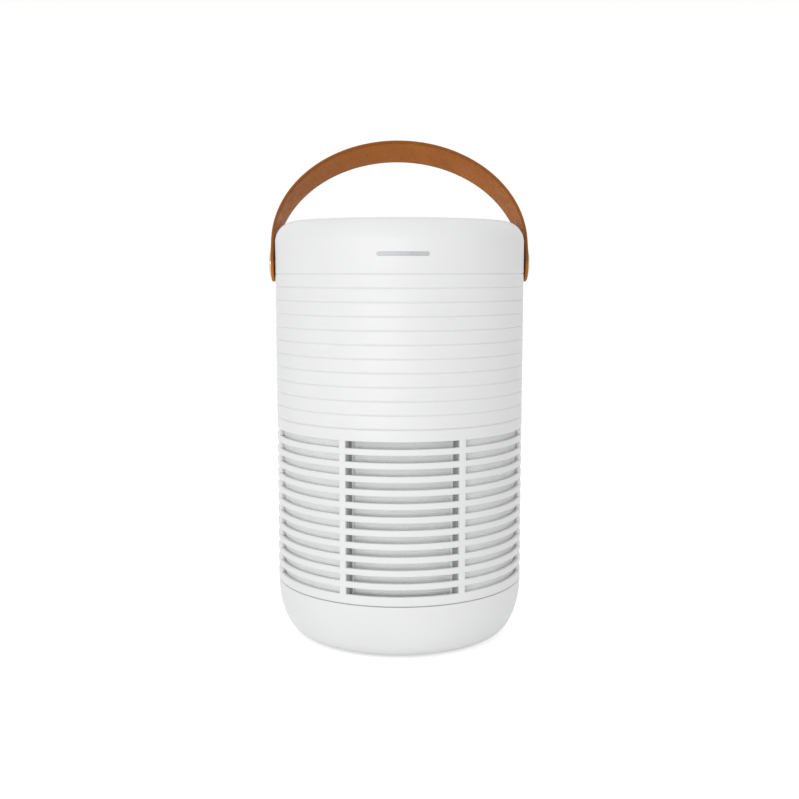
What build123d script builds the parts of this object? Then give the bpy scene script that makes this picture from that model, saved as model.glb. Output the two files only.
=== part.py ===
from build123d import *
import math
import os

os.makedirs("parts", exist_ok=True)

# Portable cylindrical air purifier with a strap handle.
# Millimetres. Origin on the floor under the centre, +Z up, front towards -Y.

# ---------------------------------------------------------------- driving sizes
# Housing
body_radius = 105.0
shell_wall = 3.0
foot_lift = 1.5
base_height = 47.1
base_reach = 20.7
seam_gap = 0.4
seam_chamfer = 0.6
fit_gap = 0.1
rib_pitch = 10.66
rib_bulge = 0.7
top_bar = 12.5
slot_rows = 12
slot_height = 5.5
shell_ribs = 11
shell_pitch = 10.88
collar_height = 43.1
shoulder_radius = 17.6
rim_land = 2.0
lap_height = 9.0
lap_wall = 2.0

# Grille sections
section_count = 7
pillar_width = 5.8
pillar_inset = 0.2
bar_edge_radius = 0.8
fin_width = 4.4

# Base and its twist lock
foot_inset = 4.3
foot_ring_width = 9.0
foot_ring_seat = 1.2
lug_count = 3
lug_width_deg = 22.0
lug_height = 3.0
lug_reach = 3.0
lug_gap = 1.0
spigot_depth = 11.0
spigot_wall = 3.0
lock_flange = 2.5
lock_rise = 0.5
cage_ring = 1.8

# Filter cartridge
cage_depth = 10.2
filter_floor_gap = 7.5
filter_cap = 4.0
filter_gap = 0.5
gasket_height = 2.0
sleeve_wall = 1.5
pleat_count = 72
pleat_gap = 0.8
pleat_wall = 2.0
carbon_radius = 60.0
carbon_gap = 1.0
carbon_wall = 3.0
gasket_width = 15.0
tab_width = 26.0
tab_drop = 4.5
tab_wall = 1.2

# Fan
deck_drop = 2.0
deck_wall = 3.0
inlet_radius = 44.0
inlet_wall = 2.0
inlet_flange = 14.0
inlet_height = 9.0
fan_gap = 1.5
fan_radius = 64.0
fan_height = 34.0
fan_plate = 2.0
blade_count = 9
blade_wall = 2.0
blade_root = 32.0
hub_radius = 12.0
hub_height = 24.0
shaft_radius = 4.0
shaft_clearance = 0.05
motor_radius = 30.0
motor_height = 28.0
motor_gap = 3.0
motor_wall = 4.0
bearing_radius = 9.0
bearing_height = 5.0
mount_wall = 3.0
mount_ring = 6.0
arm_count = 5
arm_width = 7.0
screw_count = 4
screw_circle = 20.0
screw_radius = 1.6
screw_head_radius = 3.2
screw_head_height = 2.2
screw_length = 10.0

# Outlet and controls
ledge_depth = 9.0
ledge_width = 3.5
ledge_wall = 3.0
outlet_height = 4.5
outlet_rim = 2.8
vane_count = 44
vane_width = 1.7
vane_sweep_deg = 32.0
guard_rings = 2
guard_width = 1.6
tub_radius = 41.5
tub_wall = 2.5
tub_depth = 28.0
tub_flange = 6.0
hub_wall = 3.5
standoff_height = 4.0
standoff_radius = 2.5
standoff_circle = 28.0
standoff_count = 4
duct_wall = 2.0
panel_wall = 3.0
panel_skirt = 3.0
panel_rise = 9.5
panel_flange = 2.8
light_height = 5.8
board_wall = 1.6
switch_height = 3.5
switch_size = 6.0
button_travel = 1.0
button_rest_gap = 0.4
button_clearance = 0.3
button_proud = 1.0
button_flange = 1.3
power_radius = 8.0
side_button_radius = 5.6
icon_depth = 0.3
icon_line = 0.7
icon_radius = 3.2

# Front indicator
indicator_length = 41.0
indicator_height = 3.2
indicator_drop = 28.0
indicator_depth = 1.2

# Strap handle
pivot_drop = 34.3
lean_deg = 27.5
strap_gap = 0.6
strap_width = 32.0
strap_wall = 2.4
strap_straight = 13.6
strap_arch_height = 110.5
strap_edge_round = 0.8
strap_end_flat = 0.3
pad_radius = 8.0
pad_proud = 0.1
boss_depth = 8.0
bush_radius = 5.0
pin_radius = 3.0
cap_radius = 13.5
cap_height = 2.5
cap_rim = 0.6
clip_radius = 6.0
clip_wall = 1.0
clip_gap = 0.5
pin_tail = 1.5

# Rear services
jack_height = 21.0
bezel_width = 24.0
bezel_height = 16.0
bezel_proud = 0.6
bezel_depth = 9.0
jack_radius = 4.4
jack_bore = 2.9
jack_length = 16.0
jack_pin_radius = 1.0
jack_recess = 2.0
sensor_rise = 58.0
sensor_window_width = 30.0
sensor_window_height = 12.0
sensor_slots = 6
sensor_slot_width = 1.8
sensor_cover_depth = 5.0
sensor_box = (36.0, 12.0, 26.0)
sensor_corner = 2.0
mark_radius = 1.2
mark_depth = 0.4

# ---------------------------------------------------------------- derived places
inner_radius = body_radius - shell_wall
seat_radius = inner_radius - fit_gap
grille_top = base_height + rib_pitch * slot_rows + top_bar
shell_top = grille_top + shell_pitch * shell_ribs
body_height = shell_top + collar_height
shoulder_z = body_height - shoulder_radius
outlet_radius = body_radius - shoulder_radius - rim_land
ledge_z = body_height - ledge_depth
pivot_z = body_height - pivot_drop
slot_levels = [base_height + rib_pitch * (row + 1) for row in range(slot_rows)]
pillar_angles = [90 + 360 / section_count * k for k in range(section_count)]

floor_z = foot_lift + shell_wall
foot_ring_radius = body_radius - base_reach - foot_inset
filter_bottom = floor_z + filter_floor_gap
deck_z = grille_top - deck_drop
filter_top = deck_z - gasket_height
deck_top = deck_z + deck_wall
flange_z = base_height + lock_rise
cage_z = flange_z + lock_flange
filter_radius = inner_radius - cage_depth - filter_gap
sleeve_bore = filter_radius - sleeve_wall
pleat_outer = sleeve_bore - pleat_gap
pleat_inner = carbon_radius + carbon_gap
core_bore = carbon_radius - carbon_wall

fan_z = deck_top + inlet_height + fan_gap
fan_top = fan_z + fan_height
motor_z = fan_top + motor_gap
mount_z = motor_z + motor_height
mount_top = mount_z + mount_wall

tub_top = ledge_z - ledge_wall
panel_radius = tub_radius - hub_wall - panel_flange - 2 * fit_gap
side_button_offset = (power_radius + panel_radius - panel_skirt) / 2
tub_z = tub_top - tub_depth
panel_top = tub_top + panel_rise
board_z = tub_top - tub_wall - board_wall
switch_top = board_z + board_wall + switch_height

strap_inner_x = body_radius + strap_gap
strap_outer_x = strap_inner_x + strap_wall
strap_mid_x = strap_inner_x + strap_wall / 2
bush_outer_x = body_radius + pad_proud
bush_inner_x = inner_radius - boss_depth
clip_x = bush_inner_x - clip_gap
cap_dome = cap_height - cap_rim
cap_sphere = (cap_radius**2 + cap_dome**2) / (2 * cap_dome)
cap_turn = math.asin(cap_radius / cap_sphere) / 2
half_out = cap_sphere * math.sin(cap_turn)
half_drop = cap_sphere * (1 - math.cos(cap_turn))

scallop_radius = (rib_pitch**2 / 4 + rib_bulge**2) / (2 * rib_bulge)


# ---------------------------------------------------------------- shared shapes
def polar(radius, degrees):
    """Point at a radius and an angle from +X."""
    return (radius * math.cos(math.radians(degrees)), radius * math.sin(math.radians(degrees)))


def tube(z_low, z_high, radius, bore=0.0, mode=Mode.ADD):
    """Upright tube or disc in the open part."""
    with BuildSketch(Plane.XY.offset(z_low)) as ring:
        Circle(radius)
        if bore:
            Circle(bore, mode=Mode.SUBTRACT)
    extrude(ring.sketch, amount=z_high - z_low, mode=mode)


def side_disc(x_from, x_to, radius, bore=0.0, mode=Mode.ADD):
    """Disc or tube along X about the handle's pivot."""
    with BuildSketch(Plane.YZ.offset(x_from)) as ring:
        with Locations((0, pivot_z)):
            Circle(radius)
            if bore:
                Circle(bore, mode=Mode.SUBTRACT)
    extrude(ring.sketch, amount=x_to - x_from, mode=mode)


def rear_disc(y_from, y_to, z, radius, bore=0.0, mode=Mode.ADD):
    """Disc or tube along Y on the rear centre line."""
    with BuildSketch(Plane.XZ.offset(-y_from)) as ring:
        with Locations((0, z)):
            Circle(radius)
            if bore:
                Circle(bore, mode=Mode.SUBTRACT)
    extrude(ring.sketch, amount=y_from - y_to, mode=mode)


def sector(radius_in, radius_out, middle_deg, width_deg):
    """Piece of a ring, as a face of the open sketch."""
    start = middle_deg - width_deg / 2
    end = middle_deg + width_deg / 2
    with BuildLine() as outline:
        CenterArc((0, 0), radius_out, start, width_deg)
        CenterArc((0, 0), radius_in, start, width_deg)
        Line(polar(radius_in, start), polar(radius_out, start))
        Line(polar(radius_in, end), polar(radius_out, end))
    make_face(outline.edges())


def lugs(z_low, radius_in, radius_out):
    """Ring of bayonet lugs."""
    with BuildSketch(Plane.XY.offset(z_low)) as ring:
        for k in range(lug_count):
            sector(radius_in, radius_out, 90 + 360 / lug_count * k, lug_width_deg)
    extrude(ring.sketch, amount=lug_height)


def rib_arc(z_low, z_high, middle):
    """Bulging outer line of one rib, or of the bar that is left of it."""
    low = crest_radius(z_low - middle)
    high = crest_radius(z_high - middle)
    return ThreePointArc((low, z_low), (body_radius, middle), (high, z_high))


def crest_radius(from_middle):
    """Outer radius of a rib at a height from its middle."""
    return body_radius - scallop_radius + math.sqrt(scallop_radius**2 - from_middle**2)


def bar(z_low, z_high, middle):
    """Section of one grille bar, as a face of the open sketch."""
    with BuildLine() as outline:
        face = rib_arc(z_low, z_high, middle)
        Polyline(face @ 1, (inner_radius, z_high), (inner_radius, z_low), face @ 0)
    make_face(outline.edges())


def curved_slot(radius, bore, margin):
    """Slim pill on the front that follows the housing's curve."""
    z_middle = body_height - indicator_drop
    tube(z_middle - indicator_height, z_middle + indicator_height, radius, bore)
    with BuildSketch(Plane.XZ) as pill:
        with Locations((0, z_middle)):
            SlotOverall(indicator_length - 2 * margin, indicator_height - 2 * margin)
    extrude(pill.sketch, amount=2 * body_radius, mode=Mode.INTERSECT)


# ---------------------------------------------------------------- base
lock_z = base_height - spigot_depth
base_rim = base_height - seam_gap
with BuildPart() as base_cover:
    with BuildSketch(Plane.XZ):
        with BuildLine():
            turn_x = body_radius - base_reach
            for inset in (0, shell_wall):
                EllipticalCenterArc((turn_x, base_rim), base_reach - inset, base_rim - foot_lift - inset,
                                    start_angle=270, arc_size=90)
            Line((body_radius, base_rim), (inner_radius, base_rim))
            Polyline((turn_x, foot_lift), (0, foot_lift), (0, floor_z), (turn_x, floor_z))
        make_face()
    revolve(axis=Axis.Z)
    rim = base_cover.edges().filter_by(GeomType.CIRCLE).group_by(Axis.Z)[-1]
    chamfer(rim.sort_by(SortBy.RADIUS)[-1], seam_chamfer)
    lugs(lock_z + lug_height + lug_gap, inner_radius - lug_reach, inner_radius + shell_wall / 2)
    tube(foot_lift, foot_lift + foot_ring_seat, foot_ring_radius, foot_ring_radius - foot_ring_width,
         mode=Mode.SUBTRACT)
    rear_disc(body_radius - mark_depth, body_radius + 1, base_height - rib_pitch / 2, mark_radius,
              mode=Mode.SUBTRACT)
base_cover.part.label = "base_cover"
export_step(base_cover.part, "parts/base_cover.step")

with BuildPart() as foot_ring:
    tube(0, foot_lift + foot_ring_seat, foot_ring_radius, foot_ring_radius - foot_ring_width)
    fillet(foot_ring.edges().group_by(Axis.Z)[0], foot_lift / 2)
foot_ring.part.label = "foot_ring"
export_step(foot_ring.part, "parts/foot_ring.step")

spigot_radius = inner_radius - lug_reach - lug_gap
spigot_bore = spigot_radius - spigot_wall
with BuildPart() as bayonet_ring:
    tube(lock_z, cage_z, spigot_radius, spigot_bore)
    tube(flange_z, cage_z, seat_radius, spigot_bore)
    lugs(lock_z, spigot_radius - spigot_wall / 2, spigot_radius + lug_reach)
bayonet_ring.part.label = "bayonet_ring"
export_step(bayonet_ring.part, "parts/bayonet_ring.step")

# ---------------------------------------------------------------- intake grille
bar_edges = [base_height]
for level in slot_levels:
    bar_edges += [level - slot_height / 2, level + slot_height / 2]
bar_edges.append(grille_top)
pillar_face = body_radius - pillar_inset
pillar_z = bar_edges[1] - bar_edge_radius
pillar_top = bar_edges[-2] + bar_edge_radius
bar_middles = [base_height + rib_pitch * (row + 0.5) for row in range(slot_rows)]
bar_middles.append(grille_top - rib_pitch / 2)
with BuildPart() as intake_grille:
    with BuildSketch(Plane.XZ) as bars:
        for low, high, middle in zip(bar_edges[::2], bar_edges[1::2], bar_middles):
            bar(low, high, middle)
        corners = bars.vertices().filter_by_position(Axis.X, body_radius - 1, body_radius + 1)
        fillet(corners, bar_edge_radius)
    revolve(axis=Axis.Z)
    with BuildSketch(Plane.XY.offset(pillar_z)):
        for angle in pillar_angles:
            sector(inner_radius, pillar_face, angle, math.degrees(pillar_width / body_radius))
    extrude(amount=pillar_top - pillar_z)
    rear_disc(body_radius - mark_depth, body_radius + 1, base_height + rib_pitch / 2, mark_radius,
              mode=Mode.SUBTRACT)
intake_grille.part.label = "intake_grille"
export_step(intake_grille.part, "parts/intake_grille.step")

with BuildPart() as filter_cage:
    cage_bore = filter_radius + filter_gap
    tube(cage_z, cage_z + cage_ring, seat_radius, cage_bore)
    tube(deck_z - cage_ring, deck_z, seat_radius, cage_bore)
    with BuildSketch(Plane.XY.offset(cage_z)):
        for angle in pillar_angles:
            sector(cage_bore, seat_radius, angle, math.degrees(fin_width / seat_radius))
    extrude(amount=deck_z - cage_z)
filter_cage.part.label = "filter_cage"
export_step(filter_cage.part, "parts/filter_cage.step")

# ---------------------------------------------------------------- filter cartridge
media_z = filter_bottom + filter_cap
media_top = filter_top - filter_cap
with BuildPart() as prefilter_sleeve:
    tube(media_z, media_top, filter_radius, sleeve_bore)
prefilter_sleeve.part.label = "prefilter_sleeve"
export_step(prefilter_sleeve.part, "parts/prefilter_sleeve.step")

with BuildPart() as filter_media:
    half_pleat = 180 / pleat_count
    tips = [polar(pleat_outer if k % 2 else pleat_inner + pleat_wall, half_pleat * k)
            for k in range(2 * pleat_count)]
    roots = [polar(pleat_outer - pleat_wall if k % 2 else pleat_inner, half_pleat * k)
             for k in range(2 * pleat_count)]
    with BuildSketch(Plane.XY.offset(media_z)):
        Polygon(*tips, align=None)
        Polygon(*roots, align=None, mode=Mode.SUBTRACT)
    extrude(amount=media_top - media_z)
filter_media.part.label = "filter_media"
export_step(filter_media.part, "parts/filter_media.step")

with BuildPart() as carbon_core:
    tube(media_z, media_top, carbon_radius, carbon_radius - carbon_wall)
carbon_core.part.label = "carbon_core"
export_step(carbon_core.part, "parts/carbon_core.step")

with BuildPart() as filter_bottom_cap:
    tube(filter_bottom, media_z, filter_radius)
    fillet(filter_bottom_cap.edges().group_by(Axis.Z)[0], filter_cap / 3)
filter_bottom_cap.part.label = "filter_bottom_cap"
export_step(filter_bottom_cap.part, "parts/filter_bottom_cap.step")

with BuildPart() as filter_top_cap:
    tube(media_top, filter_top, filter_radius, core_bore)
filter_top_cap.part.label = "filter_top_cap"
export_step(filter_top_cap.part, "parts/filter_top_cap.step")

with BuildPart() as filter_gasket:
    tube(filter_top, deck_z, core_bore + gasket_width, core_bore)
filter_gasket.part.label = "filter_gasket"
export_step(filter_gasket.part, "parts/filter_gasket.step")

with BuildPart() as filter_pull_tab:
    with BuildSketch(Plane.XZ) as loop:
        with Locations((0, filter_bottom - tab_drop / 2)):
            Rectangle(tab_width + 2 * tab_drop, tab_drop)
        with Locations((0, filter_bottom - (tab_drop - tab_wall) / 2)):
            Rectangle(tab_width, tab_drop - tab_wall, mode=Mode.SUBTRACT)
    extrude(amount=tab_width / 4, both=True)
filter_pull_tab.part.label = "filter_pull_tab"
export_step(filter_pull_tab.part, "parts/filter_pull_tab.step")

# ---------------------------------------------------------------- fan
with BuildPart() as fan_deck:
    tube(deck_z, deck_top, seat_radius, inlet_radius)
fan_deck.part.label = "fan_deck"
export_step(fan_deck.part, "parts/fan_deck.step")

with BuildPart() as inlet_bellmouth:
    tube(deck_top, deck_top + inlet_wall, inlet_radius + inlet_flange, inlet_radius)
    tube(deck_top, deck_top + inlet_height, inlet_radius + inlet_wall, inlet_radius)
    lip = inlet_bellmouth.edges().filter_by(GeomType.CIRCLE).sort_by(Axis.Z)[-2:]
    fillet(lip.sort_by(SortBy.RADIUS)[0], inlet_wall / 2)
inlet_bellmouth.part.label = "inlet_bellmouth"
export_step(inlet_bellmouth.part, "parts/inlet_bellmouth.step")

with BuildPart() as impeller:
    tube(fan_z, fan_z + fan_plate, fan_radius, inlet_radius + inlet_wall)
    tube(fan_top - fan_plate, fan_top, fan_radius)
    tube(fan_top - hub_height, fan_top, hub_radius)
    blade_end = fan_radius - blade_wall
    with BuildSketch(Plane.XY.offset(fan_z + fan_plate / 2)):
        for k in range(blade_count):
            turn = 360 / blade_count * k
            with BuildLine() as blade:
                ThreePointArc(polar(blade_root, turn), polar((blade_root + blade_end) / 2, turn - 26),
                              polar(blade_end, turn - 44))
            SlotArc(blade.edges()[0], blade_wall)
    extrude(amount=fan_height - fan_plate)
    tube(fan_z, fan_top, shaft_radius, mode=Mode.SUBTRACT)
impeller.part.label = "impeller"
export_step(impeller.part, "parts/impeller.step")

with BuildPart() as motor_shaft:
    tube(fan_top - hub_height, mount_top, shaft_radius)
    chamfer(motor_shaft.edges(), shaft_radius / 6)
motor_shaft.part.label = "motor_shaft"
export_step(motor_shaft.part, "parts/motor_shaft.step")

with BuildPart() as motor_housing:
    tube(motor_z, mount_z, motor_radius, bearing_radius + fit_gap / 2)
    fillet(motor_housing.edges().filter_by(GeomType.CIRCLE).group_by(Axis.Z)[0], motor_wall / 4)
    with BuildSketch(Plane.XY.offset(mount_z)):
        with PolarLocations(screw_circle, screw_count):
            Circle(screw_radius)
    extrude(amount=-(screw_length - mount_wall), mode=Mode.SUBTRACT)
motor_housing.part.label = "motor_housing"
export_step(motor_housing.part, "parts/motor_housing.step")

with BuildPart() as motor_bearings:
    for z in (motor_z + motor_wall / 2, mount_z - motor_wall / 2 - bearing_height):
        tube(z, z + bearing_height, bearing_radius, shaft_radius + shaft_clearance)
motor_bearings.part.label = "motor_bearings"
export_step(motor_bearings.part, "parts/motor_bearings.step")

with BuildPart() as motor_mount:
    tube(mount_z, mount_top, motor_radius + arm_width / 2, bearing_radius)
    tube(mount_z, mount_top, seat_radius, seat_radius - mount_ring)
    with BuildSketch(Plane.XY.offset(mount_z)):
        with PolarLocations(motor_radius, arm_count):
            arm_length = seat_radius - motor_radius - mount_ring / 2
            with Locations((arm_length / 2, 0)):
                Rectangle(arm_length, arm_width)
    extrude(amount=mount_wall)
    with BuildSketch(Plane.XY.offset(mount_z)):
        with PolarLocations(screw_circle, screw_count):
            Circle(screw_radius)
    extrude(amount=mount_wall, mode=Mode.SUBTRACT)
motor_mount.part.label = "motor_mount"
export_step(motor_mount.part, "parts/motor_mount.step")

with BuildPart() as motor_screws:
    with BuildSketch(Plane.XY.offset(mount_top - screw_length)):
        with PolarLocations(screw_circle, screw_count):
            Circle(screw_radius)
    extrude(amount=screw_length)
    with BuildSketch(Plane.XY.offset(mount_top)):
        with PolarLocations(screw_circle, screw_count):
            Circle(screw_head_radius)
    extrude(amount=screw_head_height)
    fillet(motor_screws.edges().group_by(Axis.Z)[-1], screw_head_height / 3)
motor_screws.part.label = "motor_screws"
export_step(motor_screws.part, "parts/motor_screws.step")

with BuildPart() as inner_duct:
    with BuildSketch(Plane.XZ):
        with BuildLine():
            Polyline((motor_radius, mount_top), (motor_radius + duct_wall, mount_top), (tub_radius, tub_z),
                     (tub_radius - duct_wall, tub_z), close=True)
        make_face()
    revolve(axis=Axis.Z)
inner_duct.part.label = "inner_duct"
export_step(inner_duct.part, "parts/inner_duct.step")

# ---------------------------------------------------------------- upper housing
jack_z = grille_top + jack_height
sensor_z = grille_top + sensor_rise
with BuildPart() as ribbed_shell:
    with BuildSketch(Plane.XZ):
        with BuildLine():
            for k in range(shell_ribs):
                rib_z = grille_top + shell_pitch * k
                rib_arc(rib_z, rib_z + shell_pitch, rib_z + shell_pitch / 2)
            groove_radius = crest_radius(shell_pitch / 2)
            Polyline((groove_radius, shell_top), (inner_radius, shell_top), (inner_radius, grille_top),
                     (groove_radius, grille_top))
        make_face()
    revolve(axis=Axis.Z)
    with BuildSketch(Plane.XZ.offset(-body_radius - 1)):
        with Locations((0, jack_z)):
            RectangleRounded(bezel_width, bezel_height, bezel_height / 3)
        with Locations((0, sensor_z)):
            SlotOverall(sensor_window_width, sensor_window_height)
    extrude(amount=body_radius, mode=Mode.SUBTRACT)
ribbed_shell.part.label = "ribbed_shell"
export_step(ribbed_shell.part, "parts/ribbed_shell.step")

with BuildPart() as indicator_recess:
    curved_slot(body_radius + indicator_depth, body_radius - indicator_depth, 0)

with BuildPart() as indicator_lens:
    curved_slot(body_radius, body_radius - indicator_depth + fit_gap, fit_gap)
indicator_lens.part.label = "indicator_lens"
export_step(indicator_lens.part, "parts/indicator_lens.step")

with BuildPart() as top_collar:
    with BuildSketch(Plane.XZ):
        with BuildLine():
            outer = Line((body_radius, shell_top), (body_radius, shoulder_z))
            RadiusArc(outer @ 1, (body_radius - shoulder_radius, body_height), -shoulder_radius)
            Polyline((body_radius - shoulder_radius, body_height), (outlet_radius, body_height),
                     (outlet_radius, ledge_z), (outlet_radius - ledge_width, ledge_z),
                     (outlet_radius - ledge_width, tub_top), (outlet_radius + shell_wall, tub_top))
            inner_shoulder = shoulder_radius - shell_wall
            neck_radius = outlet_radius + shell_wall
            lip_reach = neck_radius - (body_radius - shoulder_radius)
            lip_z = shoulder_z + math.sqrt(inner_shoulder**2 - lip_reach**2)
            Line((neck_radius, tub_top), (neck_radius, lip_z))
            RadiusArc((neck_radius, lip_z), (inner_radius, shoulder_z), inner_shoulder)
            Polyline((inner_radius, shoulder_z), (inner_radius, shell_top), (body_radius, shell_top))
        make_face()
    revolve(axis=Axis.Z)
    tube(shell_top - lap_height, shell_top + lap_height, seat_radius, seat_radius - lap_wall)
    tube(shell_top, shell_top + lap_height, body_radius - shell_wall / 2, seat_radius - lap_wall)
    for side in (-1, 1):
        side_disc(side * bush_inner_x, side * bush_outer_x, pad_radius)
        side_disc(side * (bush_inner_x - 1), side * (bush_outer_x + 1), bush_radius + fit_gap / 2,
                  mode=Mode.SUBTRACT)
    add(indicator_recess.part, mode=Mode.SUBTRACT)
top_collar.part.label = "top_collar"
export_step(top_collar.part, "parts/top_collar.step")

# ---------------------------------------------------------------- outlet and controls
with BuildPart() as outlet_grille:
    grille_radius = outlet_radius - fit_gap * 2
    vane_root = tub_radius - hub_wall / 2
    vane_lean = vane_root * math.sin(math.radians(vane_sweep_deg))
    vane_length = math.sqrt(grille_radius**2 - vane_lean**2) - math.sqrt(vane_root**2 - vane_lean**2)
    with BuildSketch(Plane.XY.offset(ledge_z)):
        with PolarLocations(vane_root, vane_count):
            Rectangle(vane_length, vane_width, vane_sweep_deg, align=(Align.MIN, Align.CENTER))
        for k in range(1, guard_rings + 1):
            guard_radius = tub_radius + (grille_radius - tub_radius) * k / (guard_rings + 1)
            sector(guard_radius, guard_radius + guard_width, 0, 359.999)
        Circle(grille_radius - outlet_rim / 2, mode=Mode.INTERSECT)
    extrude(amount=outlet_height)
    tube(ledge_z, ledge_z + outlet_height, grille_radius, grille_radius - outlet_rim)
    tube(tub_top, ledge_z + outlet_height, tub_radius, tub_radius - hub_wall)
    tube(tub_top, ledge_z + outlet_height, tub_radius - hub_wall, mode=Mode.SUBTRACT)
outlet_grille.part.label = "outlet_grille"
export_step(outlet_grille.part, "parts/outlet_grille.step")

with BuildPart() as control_tub:
    tube(tub_z, tub_top, tub_radius, tub_radius - tub_wall)
    tube(tub_z, tub_z + tub_wall, tub_radius - tub_wall / 2)
    tube(tub_top - tub_wall, tub_top, tub_radius - tub_wall / 2, tub_radius - tub_wall - tub_flange)
    with BuildSketch(Plane.XY.offset(tub_z + tub_wall)):
        with PolarLocations(standoff_circle, standoff_count):
            Circle(standoff_radius)
    extrude(amount=standoff_height)
control_tub.part.label = "control_tub"
export_step(control_tub.part, "parts/control_tub.step")

board_radius = tub_radius - tub_wall - button_clearance
main_board_z = tub_z + tub_wall + standoff_height
with BuildPart() as main_board:
    tube(main_board_z, main_board_z + board_wall, board_radius)
main_board.part.label = "main_board"
export_step(main_board.part, "parts/main_board.step")

# Each component: X, Y, then radius and height of a can, or length, width and height of a chip.
cans = [(-18, 12, 4.0, 9.0), (-8, 16, 4.0, 9.0), (20, 10, 5.0, 7.5)]
chips = [(6, 0, 9.0, 9.0, 1.6), (-14, -10, 12.0, 7.0, 2.2), (14, -16, 7.0, 5.0, 1.4),
         (0, -24, 14.0, 6.0, 5.5)]
with BuildPart() as board_components:
    for x, y, radius, height in cans:
        with BuildSketch(Plane.XY.offset(main_board_z + board_wall)):
            with Locations((x, y)):
                Circle(radius)
        extrude(amount=height)
    for x, y, length, width, height in chips:
        with BuildSketch(Plane.XY.offset(main_board_z + board_wall)):
            with Locations((x, y)):
                Rectangle(length, width)
        extrude(amount=height)
board_components.part.label = "board_components"
export_step(board_components.part, "parts/board_components.step")

with BuildPart() as control_board:
    tube(board_z, board_z + board_wall, board_radius)
control_board.part.label = "control_board"
export_step(control_board.part, "parts/control_board.step")

button_places = [(0, 0), (-side_button_offset, 0), (side_button_offset, 0)]
with BuildPart() as tact_switches:
    with BuildSketch(Plane.XY.offset(board_z + board_wall)):
        with Locations(*button_places):
            Rectangle(switch_size, switch_size)
    extrude(amount=switch_height)
    fillet(tact_switches.edges().group_by(Axis.Z)[-1], switch_size / 10)
tact_switches.part.label = "tact_switches"
export_step(tact_switches.part, "parts/tact_switches.step")

with BuildPart() as control_panel:
    tube(panel_top - panel_wall, panel_top, panel_radius)
    fillet(control_panel.edges().group_by(Axis.Z)[-1], panel_wall / 4)
    tube(tub_top, panel_top - panel_wall, panel_radius, panel_radius - panel_skirt)
    tube(tub_top, ledge_z, panel_radius + panel_flange, panel_radius - panel_skirt)
    with BuildSketch(Plane.XY.offset(panel_top)):
        with Locations(button_places[0]):
            Circle(power_radius + button_clearance)
        with Locations(*button_places[1:]):
            Circle(side_button_radius + button_clearance)
    extrude(amount=-panel_wall, mode=Mode.SUBTRACT)
control_panel.part.label = "control_panel"
export_step(control_panel.part, "parts/control_panel.step")

with BuildPart() as status_light_ring:
    tube(ledge_z, ledge_z + light_height, panel_radius + panel_flange, panel_radius + fit_gap)
    fillet(status_light_ring.edges().group_by(Axis.Z)[-1], panel_flange / 4)
status_light_ring.part.label = "status_light_ring"
export_step(status_light_ring.part, "parts/status_light_ring.step")


def button_body(x, radius):
    """Round push button: plunger, retaining flange and proud top."""
    flange_top = panel_top - panel_wall - button_clearance
    steps = [(switch_top + button_travel + button_rest_gap, flange_top, radius - button_flange),
             (flange_top - button_flange, flange_top, radius + button_flange),
             (flange_top, panel_top + button_proud, radius)]
    for z_low, z_high, step_radius in steps:
        with BuildSketch(Plane.XY.offset(z_low)) as step:
            with Locations((x, 0)):
                Circle(step_radius)
        extrude(step.sketch, amount=z_high - z_low)


icon_plane = Plane.XY.offset(panel_top + button_proud)
with BuildPart() as power_button:
    button_body(button_places[0][0], power_radius)
    fillet(power_button.edges().group_by(Axis.Z)[-1], button_proud / 2)
    with BuildSketch(icon_plane):
        sector(icon_radius - icon_line, icon_radius, 270, 290)
        with Locations((0, icon_radius - icon_line)):
            Rectangle(icon_line, icon_radius)
    extrude(amount=-icon_depth, mode=Mode.SUBTRACT)
power_button.part.label = "power_button"
export_step(power_button.part, "parts/power_button.step")

with BuildPart() as speed_button:
    button_body(button_places[1][0], side_button_radius)
    fillet(speed_button.edges().group_by(Axis.Z)[-1], button_proud / 2)
    with BuildSketch(icon_plane):
        for k in range(3):
            with Locations((button_places[1][0] + 2 * icon_line * (k - 1), icon_line * (k - 1) / 2)):
                Rectangle(icon_line, icon_line * (k + 2))
    extrude(amount=-icon_depth, mode=Mode.SUBTRACT)
speed_button.part.label = "speed_button"
export_step(speed_button.part, "parts/speed_button.step")

with BuildPart() as night_button:
    button_body(button_places[2][0], side_button_radius)
    fillet(night_button.edges().group_by(Axis.Z)[-1], button_proud / 2)
    with BuildSketch(icon_plane):
        with Locations(button_places[2]):
            Circle(icon_radius - icon_line)
        with Locations((button_places[2][0] + icon_radius / 2, icon_radius / 4)):
            Circle(icon_radius - icon_line, mode=Mode.SUBTRACT)
    extrude(amount=-icon_depth, mode=Mode.SUBTRACT)
night_button.part.label = "night_button"
export_step(night_button.part, "parts/night_button.step")

# ---------------------------------------------------------------- strap handle
lean = math.radians(lean_deg)
strap_plane = Plane(origin=(0, 0, pivot_z), x_dir=(1, 0, 0), z_dir=(0, -math.cos(lean), math.sin(lean)))


def strap_curve(shift):
    """Half-ellipse arch with straight legs, shifted off the strap's middle line."""
    leg_x = strap_mid_x + shift
    arch_rise = strap_arch_height - strap_straight + shift
    Line((leg_x, -strap_width / 2), (leg_x, strap_straight))
    EllipticalCenterArc((0, strap_straight), leg_x, arch_rise, start_angle=0, arc_size=180)
    Line((-leg_x, strap_straight), (-leg_x, -strap_width / 2))


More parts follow.
